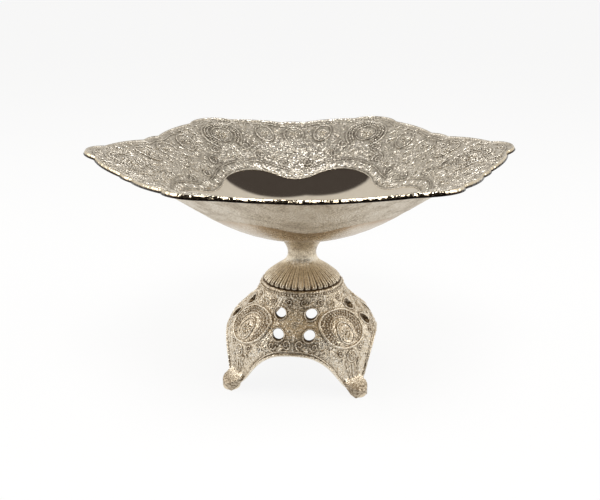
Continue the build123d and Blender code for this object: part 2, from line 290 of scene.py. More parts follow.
def strewn(across, around, unevenness, usable):
    """Places in uneven rows, where there is bare ground for them."""
    p, q = [grid.ravel() for grid in np.meshgrid(across, around, indexing="ij")]
    p = p + chance.uniform(-unevenness[0], unevenness[0], p.shape)
    q = q + chance.uniform(-unevenness[1], unevenness[1], q.shape)
    kept = usable(p, q)
    return p[kept], q[kept]


# Small leaves strewn over the bare ground of the dome.
strewn_pitch = 2.7
strewn_margin = 1.6
strewn_gap = 1.5
mean_radius = 52
strewn_z, strewn_a = strewn(np.arange(9.0, 68.0, strewn_pitch * 0.8),
                            np.arange(0, 360, degrees(strewn_pitch / mean_radius)), (0.9, 1.2),
                            lambda z, azimuth: in_metal(azimuth, z, strewn_margin))
strewn_lie = (90 + 90 * np.sin(strewn_a * 0.21) * np.cos(strewn_z * 0.33)
              + chance.uniform(-40, 40, strewn_z.shape))
strewn_size = chance.uniform(1.0, 1.7, strewn_z.shape)
here, _ = on_base(strewn_a, 0.0, strewn_z)
for k in clear_of(here, drawn_places(base_ridges, base_beads, base_dots + base_leaves), strewn_gap):
    place, normal = on_base(strewn_a[k], 0.0, strewn_z[k])
    lie = radians(strewn_lie[k])
    ahead, _ = on_base(strewn_a[k], 0.2 * cos(lie), strewn_z[k] + 0.2 * sin(lie))
    base_leaves.append((place, normal, ahead - place, strewn_size[k]))


def placed(name, data):
    """A new object in the scene."""
    thing = bpy.data.objects.new(name, data)
    bpy.context.scene.collection.objects.link(thing)
    return thing


def face_outwards(mesh):
    """Merges doubled points, then turns every face outwards."""
    work = bmesh.new()
    work.from_mesh(mesh)
    bmesh.ops.remove_doubles(work, verts=work.verts[:], dist=1e-6)
    bmesh.ops.recalc_face_normals(work, faces=work.faces[:])
    work.to_mesh(mesh)
    work.free()


def lay_rows(name, rows, ring):
    """A closed skin through rows of points that each run once round the axis, in millimetres."""
    n, m = rows.shape[:2]
    at = np.arange(n * m).reshape(n, m)
    beside = np.roll(at, -1, axis=1)
    quads = [np.stack([at[i], beside[i], beside[(i + 1) % n], at[(i + 1) % n]], 1)
             for i in range(n if ring else n - 1)]
    mesh = bpy.data.meshes.new(name)
    mesh.from_pydata(rows.reshape(-1, 3) * 0.001, [], np.concatenate(quads))
    face_outwards(mesh)
    mesh.shade_smooth()
    return placed(name, mesh)


def turned_rows(line, angles):
    """Rows for a turned piece, from a line of radius and height pairs."""
    return np.array([ringed(r, angles, z) for r, z in line])


def evened(line, count, power=1.0):
    """The same line with its points spaced evenly, or bunched towards its end."""
    s = np.concatenate([[0], np.cumsum(np.hypot(*np.diff(line, axis=0).T))])
    at = s[-1] * (1 - (1 - np.linspace(0, 1, count)) ** power)
    return np.stack([np.interp(at, s, line[:, 0]), np.interp(at, s, line[:, 1])], -1)


def set_back(points, wall):
    """The inside line of a wall, square to the middle points of its outer line."""
    inner = []
    for k in range(1, len(points) - 1):
        along = np.subtract(points[k + 1], points[k - 1])
        inwards = -np.abs(along[::-1]) / np.hypot(*along)
        inner.append(tuple(points[k] + inwards * wall))
    return inner


def cut_out(body, cutters):
    """Takes each cutter out of the body, which stays one plain mesh."""
    for cutter in cutters:
        cut = body.modifiers.new(cutter.name, "BOOLEAN")
        cut.operation, cut.solver, cut.object = "DIFFERENCE", "MANIFOLD", cutter
    seen = body.evaluated_get(bpy.context.evaluated_depsgraph_get())
    mesh = bpy.data.meshes.new_from_object(seen)
    body.modifiers.clear()
    body.data = mesh
    for cutter in cutters:
        bpy.data.objects.remove(cutter)


def bars(name, outline, pushes):
    """Straight bars with one outline, each seen square on from its own azimuth and pushed out."""
    vertices, faces = [], []
    count = len(outline)
    for azimuth, start, stop, shift_u, shift_z in pushes:
        a = np.radians(azimuth)
        out, side = np.array([np.cos(a), np.sin(a), 0]), np.array([-np.sin(a), np.cos(a), 0])
        first = len(vertices)
        for depth in (start, stop):
            vertices += [out * depth + side * (u + shift_u) + np.array([0, 0, z + shift_z]) for u, z in outline]
        faces += [[first + i, first + (i + 1) % count, first + count + (i + 1) % count, first + count + i]
                  for i in range(count)]
        faces += [[first + i for i in range(count)][::-1], [first + count + i for i in range(count)]]
    mesh = bpy.data.meshes.new(name)
    mesh.from_pydata(np.array(vertices) * 0.001, [], faces)
    face_outwards(mesh)
    return placed(name, mesh)


base_angles = np.linspace(0, 360, 480, endpoint=False)
corner_turn = np.radians((base_angles - base_turn) % 90 - 45)
toe_across = toe_centre * np.sin(corner_turn)
toe_edge = toe_centre * np.cos(corner_turn) + np.sqrt(np.clip(toe_radius ** 2 - toe_across ** 2, 0, None))
on_toe = np.abs(toe_across) < toe_radius
toe_top = toe_points[0][1]
top_inside = base_top - 3
base_rows = list(turned_rows([(rod_hole_radius, top_inside), (rod_hole_radius, base_top), (20, base_top),
                              (28.4, base_top)], base_angles))
for r, z in evened(dome_line, 132, 1.15)[1:]:
    lip = np.interp(z, toe_line[::-1, 1], toe_line[::-1, 0]) if z < toe_top else 0
    wide = np.maximum(r + base_relief(base_angles, np.full_like(base_angles, z)) * smooth(z, 2, 9),
                      np.where(on_toe, np.minimum(lip, toe_edge), 0))
    base_rows.append(ringed(wide, base_angles, z))
inner_points = [(dome_points[0][0] - dome_wall, top_inside), *set_back(dome_points, dome_wall),
                (sole_inner_radius, 0.0)]
base_rows += list(turned_rows(evened(line_through(inner_points)[::-1], 22), base_angles))
base = lay_rows("base_casting", np.array(base_rows), ring=True)
arch_foot = arch_points[0][0]
past_base, below_soles, in_hollow = 130, -5.0, 12
arch_outline = [*arch_line, (-arch_foot, below_soles), (arch_foot, below_soles)]
oval = [(piercing_half_width * np.cos(t), piercing_half_height * np.sin(t))
        for t in np.linspace(0, 2 * pi, 28)[:-1]]
arch_one, arch_two = [bars(name, arch_outline, [(base_turn + turn, -past_base, past_base, 0, 0)])
                      for name, turn in (("arch_one", 0), ("arch_two", 90))]
holes = bars("holes", oval, [(base_turn + 90 * k, in_hollow, past_base, sign * piercing_side, level)
                             for k in range(4) for sign in (1, -1) for level in piercing_levels])
cut_out(base, [arch_one, arch_two, holes])

# The toes: a round pad under the tip of each leg, cast in one with it.
toe_middle = 63.4
toe_section = [(0.0, 0.0), (4.2, 0.0), (5.3, 0.8), (5.7, 2.4), (5.2, 4.2), (3.9, 5.7), (1.9, 6.7), (0.0, 7.0)]
toe_stretch = 1.12
toe_angles = np.linspace(0, 360, 40, endpoint=False)
toe_rows = turned_rows(evened(line_through(toe_section), 26), toe_angles)
toe_rows = toe_rows * [toe_stretch, 1, 1] + [toe_middle, 0, 0]
toes = []
for k in range(4):
    turn = radians(base_turn + 45 + 90 * k)
    spin = np.array([[cos(turn), -sin(turn), 0], [sin(turn), cos(turn), 0], [0, 0, 1]])
    toes.append(lay_rows(f"base_toe_{k + 1}", np.clip(toe_rows @ spin.T, [-99, -99, 0], 99), ring=False))


def linear(colour):
    """An sRGB hex colour as the linear one that a node takes."""
    parts = [int(colour[i:i + 2], 16) / 255 for i in (1, 3, 5)]
    return (*[c / 12.92 if c <= 0.04045 else ((c + 0.055) / 1.055) ** 2.4 for c in parts], 1.0)


def add(tree, kind, settings=None, inputs=None):
    """Adds a node with its settings, and gives each input a value, or a link from a node's output."""
    node = tree.nodes.new(kind)
    for name, value in (settings or {}).items():
        setattr(node, name, value)
    for name, value in (inputs or {}).items():
        if isinstance(value, bpy.types.Node):
            value = value.outputs[0]
        if isinstance(value, bpy.types.NodeSocket):
            tree.links.new(value, node.inputs[name])
        else:
            node.inputs[name].default_value = value
    return node


def per_mm(size):
    """A texture's scale on Object coordinates, in metres, for a pattern of this many millimetres."""
    return 1000 / size


def plate(name, tones, gloss, patch, grain, grain_height, shade_share, speckle=0.0):
    """Silver plate over metal: bright where it is rubbed, brown where tarnish lies, and darker where the shade
    attribute holds painted shade.
    """
    material = bpy.data.materials.new(name)
    material.use_nodes = True
    tree = material.node_tree
    tree.nodes.clear()
    place = add(tree, "ShaderNodeTexCoord").outputs["Object"]
    painted_shade_and_tarnish = add(tree, "ShaderNodeAttribute", {"attribute_name": "shade"}).outputs["Fac"]
    cloud, grit = [add(tree, "ShaderNodeTexNoise", {}, {"Vector": place, "Scale": per_mm(size),
                                                        "Detail": detail, "Roughness": broken}).outputs["Fac"]
                   for size, detail, broken in ((patch, 4.0, 0.6), (grain, 2.0, 0.5))]
    cells = add(tree, "ShaderNodeTexVoronoi", {}, {"Vector": place, "Scale": per_mm(grain)}).outputs["Distance"]
    # The shade attribute carries tarnish and, on some pieces, painted shade.
    tarnish = 0.0
    for pattern, share in ((painted_shade_and_tarnish, shade_share), (cloud, 0.55), (cells, speckle), (grit, 0.5)):
        tarnish = add(tree, "ShaderNodeMath", {"operation": "MULTIPLY_ADD"}, {0: pattern, 1: share, 2: tarnish})
    tone = add(tree, "ShaderNodeMapRange", {}, {"Value": tarnish, "From Min": 0.42, "From Max": 1.25})
    ramp = add(tree, "ShaderNodeValToRGB", {}, {"Fac": tone})
    ramp.color_ramp.elements[0].color = linear(tones[0])
    ramp.color_ramp.elements[1].color = linear(tones[2])
    ramp.color_ramp.elements.new(0.45).color = linear(tones[1])
    rough = add(tree, "ShaderNodeMapRange", {}, {"Value": tone, "To Min": gloss[0], "To Max": gloss[1]})
    height = add(tree, "ShaderNodeMath", {"operation": "SUBTRACT"}, {0: grit, 1: cells})
    bump = add(tree, "ShaderNodeBump", {}, {"Height": height, "Strength": 0.8,
                                            "Distance": grain_height * 0.001})
    shader = add(tree, "ShaderNodeBsdfPrincipled", {}, {"Base Color": ramp, "Metallic": 1.0, "Roughness": rough,
                                                        "Normal": bump})
    add(tree, "ShaderNodeOutputMaterial", {}, {"Surface": shader})
    return material


# The toes are smooth, and dull brown with handling and standing.
toe_plate = plate("dulled_silver_plate_on_toes", ("#e2d4bc", "#ccba9f", "#988469"), (0.3, 0.46),
                  12.0, 2.4, 0.1, 0.4)
# Cast and plated, worn by polishing: pale on the high parts, a warm brown in the hollows.
cast_plate = plate("worn_silver_plate_on_casting", ("#faf5ea", "#e3d5be", "#75634d"), (0.24, 0.46),
                   9.0, 1.35, 0.42, 0.6, 0.35)


def close_to(co, places, reach):
    """1 at the raised work and less away from it: the ground there keeps polish and tarnish."""
    nearest = finder(places)
    away = np.array([nearest.find(c)[2] for c in co])
    return np.exp(-(away / reach) ** 2)


def settle(thing, shade_of):
    """Writes how dark each point of a piece is, which its finish reads."""
    mesh = thing.data
    co = np.zeros(len(mesh.vertices) * 3)
    mesh.vertices.foreach_get("co", co)
    shade = np.clip(shade_of(co.reshape(-1, 3) * 1000), 0, 1)
    mesh.attributes.new("shade", "FLOAT", "POINT").data.foreach_set("value", shade.astype(np.float32))


def base_shade(co):
    """Dark round the raised work, on the toes and all over the inside of the hollow, with painted shade on the
    flat top where the stem stands.
    """
    r = np.hypot(co[:, 0], co[:, 1])
    inside = (r < np.interp(co[:, 2], dome_z, dome_r) - 1.4) & (co[:, 2] < base_top - 0.2)
    # Painted shade on the flat top and its edge, where the stem stands.
    ledge_painted_shade = co[:, 2] > base_top - 0.6
    toe = smooth(r, 58.5, 61.5) * (1 - smooth(co[:, 2], 6.0, 13.0))
    worked = close_to(co, drawn_places(base_ridges, base_beads, base_dots), 1.4)
    return np.where(inside | ledge_painted_shade, 0.9, np.maximum(worked, 0.6 * toe))


def coated(thing, finish):
    """Gives a piece one finish all over."""
    thing.data.materials.clear()
    thing.data.materials.append(finish)


def fitted(thing, slot, *nodes):
    """Puts a finished piece in its place in the frame."""
    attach(thing, "root")
    if nodes:
        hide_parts(*nodes)


settle(base, base_shade)
base.data.set_sharp_from_angle(angle=radians(40))
coated(base, cast_plate)
fitted(base, "plated_casting", "base")
for toe in toes:
    coated(toe, toe_plate)
    fitted(toe, "plated_casting")

# The raised work on the base: cast in one with it, drawn here as ridges, rows of beads, rosettes
# and leaves that are sunk half into the dome.
base_bead_pitch = 2.05
base_bead_radius = 0.8


def new_tree(name, inputs):
    """A Geometry Nodes tree with named inputs, and the nodes at its two ends."""
    tree = bpy.data.node_groups.new(name, "GeometryNodeTree")
    tree.is_modifier = True
    tree.interface.new_socket("Geometry", in_out="INPUT", socket_type="NodeSocketGeometry")
    for label, kind in inputs.items():
        tree.interface.new_socket(label, in_out="INPUT", socket_type=kind)
    tree.interface.new_socket("Geometry", in_out="OUTPUT", socket_type="NodeSocketGeometry")
    return tree, tree.nodes.new("NodeGroupInput").outputs, tree.nodes.new("NodeGroupOutput")


def finish_tree(tree, shape, given, end):
    """Every tree ends in real, smooth geometry with its material on it."""
    real = add(tree, "GeometryNodeRealizeInstances", {}, {"Geometry": shape})
    even = add(tree, "GeometryNodeSetShadeSmooth", {}, {"Geometry": real})
    finished = add(tree, "GeometryNodeSetMaterial", {}, {"Geometry": even, "Material": given["Material"]})
    tree.links.new(finished.outputs[0], end.inputs[0])
    return tree


def ridge_tree():
    """A rounded ridge along each line, as wide as the line says at each point."""
    tree, given, end = new_tree("raised_ridge", {"Sides": "NodeSocketInt", "Material": "NodeSocketMaterial"})
    line = add(tree, "GeometryNodeMeshToCurve", {}, {"Mesh": given["Geometry"]})
    width = add(tree, "GeometryNodeInputNamedAttribute", {"data_type": "FLOAT"}, {"Name": "half_width"})
    section = add(tree, "GeometryNodeCurvePrimitiveCircle", {}, {"Resolution": given["Sides"], "Radius": 1.0})
    shape = add(tree, "GeometryNodeCurveToMesh", {}, {"Curve": line, "Profile Curve": section, "Scale": width,
                                                      "Fill Caps": True})
    return finish_tree(tree, shape, given, end)


def bead_tree():
    """Beads of slightly uneven size, one pitch apart along each line."""
    tree, given, end = new_tree("bead_row", {"Pitch": "NodeSocketFloat", "Bead radius": "NodeSocketFloat",
                                             "Material": "NodeSocketMaterial"})
    line = add(tree, "GeometryNodeMeshToCurve", {}, {"Mesh": given["Geometry"]})
    steps = add(tree, "GeometryNodeResampleCurve", {"mode": "LENGTH"},
                {"Curve": line, "Length": given["Pitch"]})
    bead = add(tree, "GeometryNodeMeshUVSphere", {},
               {"Segments": 8, "Rings": 4, "Radius": given["Bead radius"]})
    uneven = add(tree, "FunctionNodeRandomValue", {"data_type": "FLOAT"}, {2: 0.85, 3: 1.1, "Seed": 7})
    row = add(tree, "GeometryNodeInstanceOnPoints", {}, {"Points": steps, "Instance": bead,
                                                         "Scale": uneven.outputs[1]})
    return finish_tree(tree, row, given, end)


def set_on_points(tree, given, shape):
    """Sets a shape on each point, flat on the surface and lying the way the point says."""
    face, lie, size = [add(tree, "GeometryNodeInputNamedAttribute", {"data_type": kind}, {"Name": name})
                       for name, kind in (("face", "FLOAT_VECTOR"), ("lie", "FLOAT_VECTOR"), ("size", "FLOAT"))]
    upright = add(tree, "FunctionNodeAlignRotationToVector", {"axis": "Z"}, {"Vector": face})
    turned = add(tree, "FunctionNodeAlignRotationToVector", {"axis": "X", "pivot_axis": "Z"},
                 {"Rotation": upright, "Vector": lie})
    return add(tree, "GeometryNodeInstanceOnPoints", {}, {"Points": given["Geometry"], "Instance": shape,
                                                          "Rotation": turned, "Scale": size})


def rosette_tree():
    """A round flower: a ring of flattened petals about a bead."""
    tree, given, end = new_tree("rosette", {"Petals": "NodeSocketInt", "Material": "NodeSocketMaterial"})
    ball = add(tree, "GeometryNodeMeshUVSphere", {}, {"Segments": 6, "Rings": 4, "Radius": 1.0})
    petal, heart = [add(tree, "GeometryNodeTransform", {}, {"Geometry": ball, "Scale": scale})
                    for scale in ((0.36, 0.18, 0.2), (0.27, 0.27, 0.3))]
    circle = add(tree, "GeometryNodeMeshCircle", {}, {"Vertices": given["Petals"], "Radius": 0.64})
    aim = add(tree, "FunctionNodeAlignRotationToVector", {"axis": "X"},
              {"Vector": add(tree, "GeometryNodeInputPosition")})
    ring = add(tree, "GeometryNodeInstanceOnPoints", {}, {"Points": circle, "Instance": petal, "Rotation": aim})
    both = add(tree, "GeometryNodeJoinGeometry")
    for part in (ring, heart):
        tree.links.new(part.outputs[0], both.inputs[0])
    flower = add(tree, "GeometryNodeRealizeInstances", {}, {"Geometry": both})
    return finish_tree(tree, set_on_points(tree, given, flower), given, end)


def leaf_tree():
    """A long rounded leaf, widest near its root."""
    tree, given, end = new_tree("leaf", {"Length share": "NodeSocketFloat", "Material": "NodeSocketMaterial"})
    ball = add(tree, "GeometryNodeMeshUVSphere", {}, {"Segments": 8, "Rings": 6, "Radius": 1.0})
    span = add(tree, "ShaderNodeCombineXYZ", {}, {"X": given["Length share"], "Y": 0.34, "Z": 0.26})
    leaf = add(tree, "GeometryNodeTransform", {}, {"Geometry": ball, "Scale": span})
    return finish_tree(tree, set_on_points(tree, given, leaf), given, end)


def grown(name, tree, values, carrier, finish, slot):
    """What a tree makes on a carrier mesh, as a plain mesh of its own in its place in the frame."""
    thing = placed(name, carrier)
    work = thing.modifiers.new(name, "NODES")
    work.node_group = tree
    sockets = {s.name: s.identifier for s in tree.interface.items_tree if s.in_out == "INPUT"}
    for label, value in {**values, "Material": finish}.items():
        work[sockets[label]] = value
    seen = thing.evaluated_get(bpy.context.evaluated_depsgraph_get())
    mesh = bpy.data.meshes.new_from_object(seen)
    thing.modifiers.clear()
    thing.data = mesh
    fitted(thing, slot)


def line_carrier(lines, widths=None):
    """A mesh of bare edges along lines, in millimetres, with a half width at each point if given."""
    edges, first = [], 0
    for line in lines:
        edges += [(first + i, first + i + 1) for i in range(len(line) - 1)]
        first += len(line)
    mesh = bpy.data.meshes.new("lines")
    mesh.from_pydata(np.concatenate(lines) * 0.001, edges, [])
    if widths:
        layer = mesh.attributes.new("half_width", "FLOAT", "POINT")
        layer.data.foreach_set("value", (np.concatenate(widths) * 0.001).astype(np.float32))
    return mesh


def spot_carrier(marks):
    """A mesh of bare points, each with the way it faces, the way it lies and its size."""
    mesh = bpy.data.meshes.new("spots")
    mesh.from_pydata(np.array([s[0] for s in marks]) * 0.001, [], [])
    for label, k in (("face", 1), ("lie", 2)):
        layer = mesh.attributes.new(label, "FLOAT_VECTOR", "POINT")
        layer.data.foreach_set("vector", np.array([s[k] for s in marks], np.float32).reshape(-1))
    size = np.array([s[3] for s in marks], np.float32) * 0.001
    mesh.attributes.new("size", "FLOAT", "POINT").data.foreach_set("value", size)
    return mesh


def decorated(name, made, sides, petals, leaf_share, bead_sizes, finish, slot):
    """The four kinds of raised work on one piece, each a mesh of its own."""
    drawn_ridges, drawn_beads, flowers, foliage = made
    pitch, bead_radius = bead_sizes
    grown(f"{name}_scrollwork", ridges, {"Sides": sides}, line_carrier(*zip(*drawn_ridges)), finish, slot)
    grown(f"{name}_beading", beads, {"Pitch": pitch * 0.001, "Bead radius": bead_radius * 0.001},
          line_carrier(drawn_beads), finish, slot)
    grown(f"{name}_rosettes", rosettes, {"Petals": petals}, spot_carrier(flowers), finish, slot)
    grown(f"{name}_leaves", leaves, {"Length share": leaf_share}, spot_carrier(foliage), finish, slot)


ridges, beads, rosettes, leaves = ridge_tree(), bead_tree(), rosette_tree(), leaf_tree()
decorated("base", (base_ridges, base_beads, base_dots, base_leaves), sides=7, petals=10, leaf_share=0.95,
          bead_sizes=(base_bead_pitch, base_bead_radius), finish=cast_plate, slot="plated_casting")

# The fixings under the base: an M6 steel rod, a large washer, a split spring washer and a nut.
# They pull the three main pieces together and show only from below.
zinc_steel = plate("zinc_plated_steel", ("#a9a8a3", "#8f8e89", "#6d6a64"), (0.32, 0.5), 14.0, 0.8, 0.08, 0.3)
for node in ("clamp_plate", "spring_washer", "hex_nut"):
    coated(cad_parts[node], zinc_steel)
thread_pitch = 1.0
thread_depth = 0.45
rod_low, rod_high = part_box("tie_rod")
rod_angles = np.linspace(0, 360, 24, endpoint=False)
rod_rows = []
for z in np.arange(rod_low.z * 1000, rod_high.z * 1000, thread_pitch / 5):
    phase = (z / thread_pitch - rod_angles / 360) % 1
    r = rod_high.x * 1000 - thread_depth * (1 - np.abs(2 * phase - 1))
    rod_rows.append(ringed(r, rod_angles, z))
rod_rows = [rod_rows[0] * [0, 0, 1], *rod_rows, rod_rows[-1] * [0, 0, 1]]
rod = lay_rows("threaded_rod", np.array(rod_rows), ring=False)
coated(rod, zinc_steel)
fitted(rod, "steel", "tie_rod")

# The stem: a second casting, turned and fluted. Its bell is reeded like the petals of a daisy
# and sits on the base, and its narrow neck flares out under the bowl.
stem_foot, stem_top = [corner.z * 1000 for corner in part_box("stem")]
stem_tall = stem_top - stem_foot
reeds = 72
lip_lobes = 36
reed_depth, lobe_depth, scallop_depth = 0.6, 0.35, 0.9
recess_radius, recess_depth = 14.2, 2.8
hub_radius, hub_depth = 6.2, 11.0
neck_top_radius = 17.0
bell_points = [(28.0, 1.6), (23.8, 5.6), (19.4, 8.9), (14.7, 12.0), (11.5, 15.5), (10.3, 20.2)]
bell = line_through(bell_points, start=(-0.75, 1), end=(0, 1), count=160)
neck = line_through([bell_points[-1], (neck_top_radius, stem_tall - 1.2)], start=(0, 1), end=(0.8, 1), count=60)
stem_angles = np.linspace(0, 360, reeds * 8, endpoint=False)
stem_turn = np.radians(stem_angles)
reed_wave = np.abs(np.sin(stem_turn * reeds / 2))
lobe_wave = np.abs(np.sin(stem_turn * lip_lobes / 2))
stem_rows = list(turned_rows([(rod_hole_radius, 10.4), (11.4, 10.4), (18.0, 8.2), (23.0, 3.6), (25.6, 0.0)],
                             stem_angles))
for r, z in [(27.2, 0.0), (27.8, 0.5), (28.0, 1.1), *evened(bell, 46)]:
    deep = smooth(z, 0.3, 2.0) * (1 - smooth(z, 14.0, 19.0)) * r / bell_points[0][0]
    groove = deep * (reed_depth * (1 - reed_wave) ** 1.5 + lobe_depth * (1 - lobe_wave) ** 2)
    scallop = (1 - smooth(z, 1.2, 3.0)) * scallop_depth * (1 - lobe_wave) ** 1.3
    wide = r - groove - scallop
    stem_rows.append(ringed(wide, stem_angles, z))
stem_rows += list(turned_rows(evened(neck, 26)[1:], stem_angles))
recess_floor, hub_floor = stem_tall - recess_depth, stem_tall - hub_depth
stem_rows += list(turned_rows([(neck_top_radius, stem_tall), (recess_radius, stem_tall),
                               (recess_radius, recess_floor), (hub_radius, recess_floor),
                               (hub_radius, hub_floor), (rod_hole_radius, hub_floor)], stem_angles))
stem = lay_rows("stem_casting", np.array(stem_rows) + [0, 0, stem_foot], ring=True)


def stem_shade(co):
    """Tarnish lies between the petals; painted shade lies under the lip, where the bell stands on the base, and
    on the neck under the bowl.
    """
    z = co[:, 2] - stem_foot
    bell_r = np.interp(z, bell[:, 1], bell[:, 0])
    below = bell_r - np.hypot(co[:, 0], co[:, 1])
    sunk = np.where((z > 0.8) & (z < 15), np.clip((below - 0.05) / reed_depth, 0, 1), 0)
    # Painted shade round the foot of the bell, where it stands on the base.
    bell_foot_painted_shade = 1 - smooth(z, 0.2, 1.4)
    # The neck, under the bowl, is darker: painted shade.
    return np.maximum(0.15 * (z < 15) + 0.75 * sunk + 0.45 * smooth(z, 16.5, 20.5), bell_foot_painted_shade)


# Cast and plated, worn pale on the reeds and brown between them.
bell_plate = plate("worn_silver_plate_on_stem", ("#faf4e8", "#e6d9c1", "#7f6a52"), (0.24, 0.44),
                   5.0, 1.1, 0.24, 0.7, 0.25)
settle(stem, stem_shade)
stem.data.set_sharp_from_angle(angle=radians(50))
coated(stem, bell_plate)
fitted(stem, "plated_casting", "stem")

# The boss: a round plate with a tapped hub, brazed under the bowl. It sits in the stem's recess
# and takes the rod.
coated(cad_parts["bowl_boss"], zinc_steel)

# The bowl: brass sheet pressed to a dish, chased by hand in a band round a plain polished middle,
# trimmed to six scalloped corners, then silver plated.
bowl_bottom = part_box("bowl")[0].z * 1000
sheet = 1.2
dish_points = [(15.0, 0.0), (55.0, 11.6), (97.0, 38.8), (132.0, 57.2), (154.0, 61.4)]
dish_line = np.concatenate([[(0.0, 0.0)], line_through(dish_points, start=(1, 0.08), end=(1, 0.08), count=600)])
dish_r, dish_h = dish_line[:, 0], dish_line[:, 1]
corner_radius, joint_angle, joint_depth = 150.0, 7.6, 8.5
dip_angle, dip_depth, nub_rise, lobe_rise = 26.0, 19.0, 1.2, 2.8
centre_tip, centre_turn_angle, centre_turn_depth, centre_dip_depth = 83.0, 17.0, 5.4, 11.0
medal_out, shield_out = 119.0, 114.0
oval_out, oval_aside = 111.0, 36.0
ground_height, form_height, tongue_height = 0.12, 0.42, 0.6
pressed_through = 0.45


def polar(radius, angle):
    """A point in plan at a radius and an angle in degrees."""
    return np.array([radius * np.cos(np.radians(angle)), radius * np.sin(np.radians(angle))])


def arc_reach(angle, first, middle, last):
    """How far an arc through three points lies from the axis, along each angle."""
    m = 2 * np.array([middle - first, last - middle])
    centre = np.linalg.solve(m, [middle @ middle - first @ first, last @ last - middle @ middle])
    radius = np.hypot(*(middle - centre))
    along = centre @ polar(1.0, angle)
    spread = np.sqrt(np.clip(radius ** 2 - centre @ centre + along ** 2, 0, None))
    reaches = np.stack([along + spread, along - spread])
    nearest = np.abs(reaches - np.hypot(*middle)).argmin(0)
    return np.take_along_axis(reaches, nearest[None], 0)[0]


def folded(angle):
    """An angle in plan as its distance from the nearest corner, 0 to 30 degrees."""
    return np.abs((np.asarray(angle, float) + 30) % 60 - 30)


def edge_reach(angle, inset=0.0):
    """The scalloped edge: a corner lobe, a side lobe and half of the nub between side lobes."""
    a = np.atleast_1d(folded(angle))
    tip = corner_radius - inset
    joint, dip = tip - joint_depth, tip - dip_depth
    p, q = polar(joint, joint_angle), polar(dip, dip_angle)
    middle = (p + q) / 2
    middle = middle + middle / np.hypot(*middle) * lobe_rise
    corner = arc_reach(a, polar(joint, -joint_angle), polar(tip, 0), p)
    side = arc_reach(a, p, middle, q)
    nub = arc_reach(a, q, polar(dip + nub_rise, 30), polar(dip, 60 - dip_angle))
    return np.where(a < joint_angle, corner, np.where(a < dip_angle, side, nub))


def centre_reach(angle):
    """The edge of the plain middle: six lobes that point at the corners."""
    a = np.atleast_1d(folded(angle))
    turn = centre_tip - centre_turn_depth
    p, q = polar(turn, -centre_turn_angle), polar(turn, centre_turn_angle)
    lobe = arc_reach(a, p, polar(centre_tip, 0), q)
    dip = arc_reach(a, q, polar(centre_tip - centre_dip_depth, 30), polar(turn, 60 - centre_turn_angle))
    return np.where(a < centre_turn_angle, lobe, dip)


def bowl_relief(x, y):
    """How far the chasing is pushed up, from the large rounded forms down to the hammered ground."""
    r, angle = np.hypot(x, y), np.degrees(np.arctan2(y, x))
    a = folded(angle)
    a_turn = np.radians(a)
    u, v = r * np.cos(a_turn), r * np.sin(a_turn)
    low, high = centre_reach(angle.ravel()).reshape(r.shape), edge_reach(angle.ravel()).reshape(r.shape)
    t = (r - low) / (high - low)
    band = smooth(t, 0.0, 0.03) * (1 - smooth(high - r, 8.0, 5.0))
    out = u * np.cos(pi / 6) + v * np.sin(pi / 6) - shield_out
    aside = u * np.sin(pi / 6) - v * np.cos(pi / 6)
    medal = 1 - smooth(np.hypot(u - medal_out, v), 13.5, 17.6)
    loop = 1 - smooth(np.hypot((u - oval_out) / 10.2, (v - oval_aside) / 7.4), 0.75, 1.1)
    shield = 1 - smooth(np.hypot(np.minimum(out, 0) * 0.45 + np.maximum(out, 0), aside), 6.5, 9.4)
    wave = 0.5 * (1 + np.cos(a * radians(360 / 5.0)))
    tongue = smooth(t, 0.02, 0.06) * (1 - smooth(t, 0.11, 0.17)) * (0.45 + 0.55 * wave)
    swirl = (0.16 * np.sin(u * 0.62 + v * 0.35) * np.sin(v * 0.58 - u * 0.22)
             + 0.07 * np.sin(u * 1.4) * np.sin(v * 1.5))
    return band * (ground_height + form_height * medal + form_height * loop + form_height * shield
                   + tongue_height * tongue + swirl)


def on_dish(x, y):
    """Points on the upper face of the dish, and the way the face looks there."""
    x, y = np.broadcast_arrays(np.asarray(x, float), np.asarray(y, float))
    r = np.maximum(np.hypot(x, y), 1e-6)
    slope = np.interp(r, (dish_r[1:] + dish_r[:-1]) / 2, np.diff(dish_h) / np.diff(dish_r))
    normal = np.stack([-slope * x / r, -slope * y / r, np.ones_like(r)], -1)
    normal /= np.linalg.norm(normal, axis=-1, keepdims=True)
    level = bowl_bottom + sheet + np.interp(r, dish_r, dish_h) + bowl_relief(x, y)
    return np.stack([x, y, level], -1), normal


half_angles = np.concatenate([np.linspace(0, joint_angle, 16)[:-1],
                              np.linspace(joint_angle, dip_angle, 38)[:-1], np.linspace(dip_angle, 30, 9)])
sector = np.concatenate([half_angles, 60 - half_angles[-2:0:-1]])
bowl_angles = np.concatenate([sector + 60 * k for k in range(6)])
centre_line, edge_line = centre_reach(bowl_angles), edge_reach(bowl_angles, 1.0)
outwards = polar(1.0, bowl_angles)
face_reaches = ([centre_line * t for t in np.linspace(0, 1, 19)[:-1]]
                + [centre_line + (edge_line - centre_line) * t for t in np.linspace(0, 1, 84)])
back_reaches = ([centre_line + (edge_line - centre_line) * t for t in np.linspace(1, 0, 20)]
                + [centre_line * t for t in np.linspace(1, 0, 9)[1:]])
bowl_rows = [on_dish(*(reach * outwards))[0] for reach in face_reaches]
for reach in back_reaches:
    x, y = reach * outwards
    back_row = on_dish(x, y)[0]
    back_row[:, 2] -= sheet + pressed_through * bowl_relief(x, y)
    bowl_rows.append(back_row)
bowl = lay_rows("bowl_sheet", np.array(bowl_rows), ring=False)

bowl_ridges, bowl_beads, bowl_dots, bowl_leaves = [], [], [], []


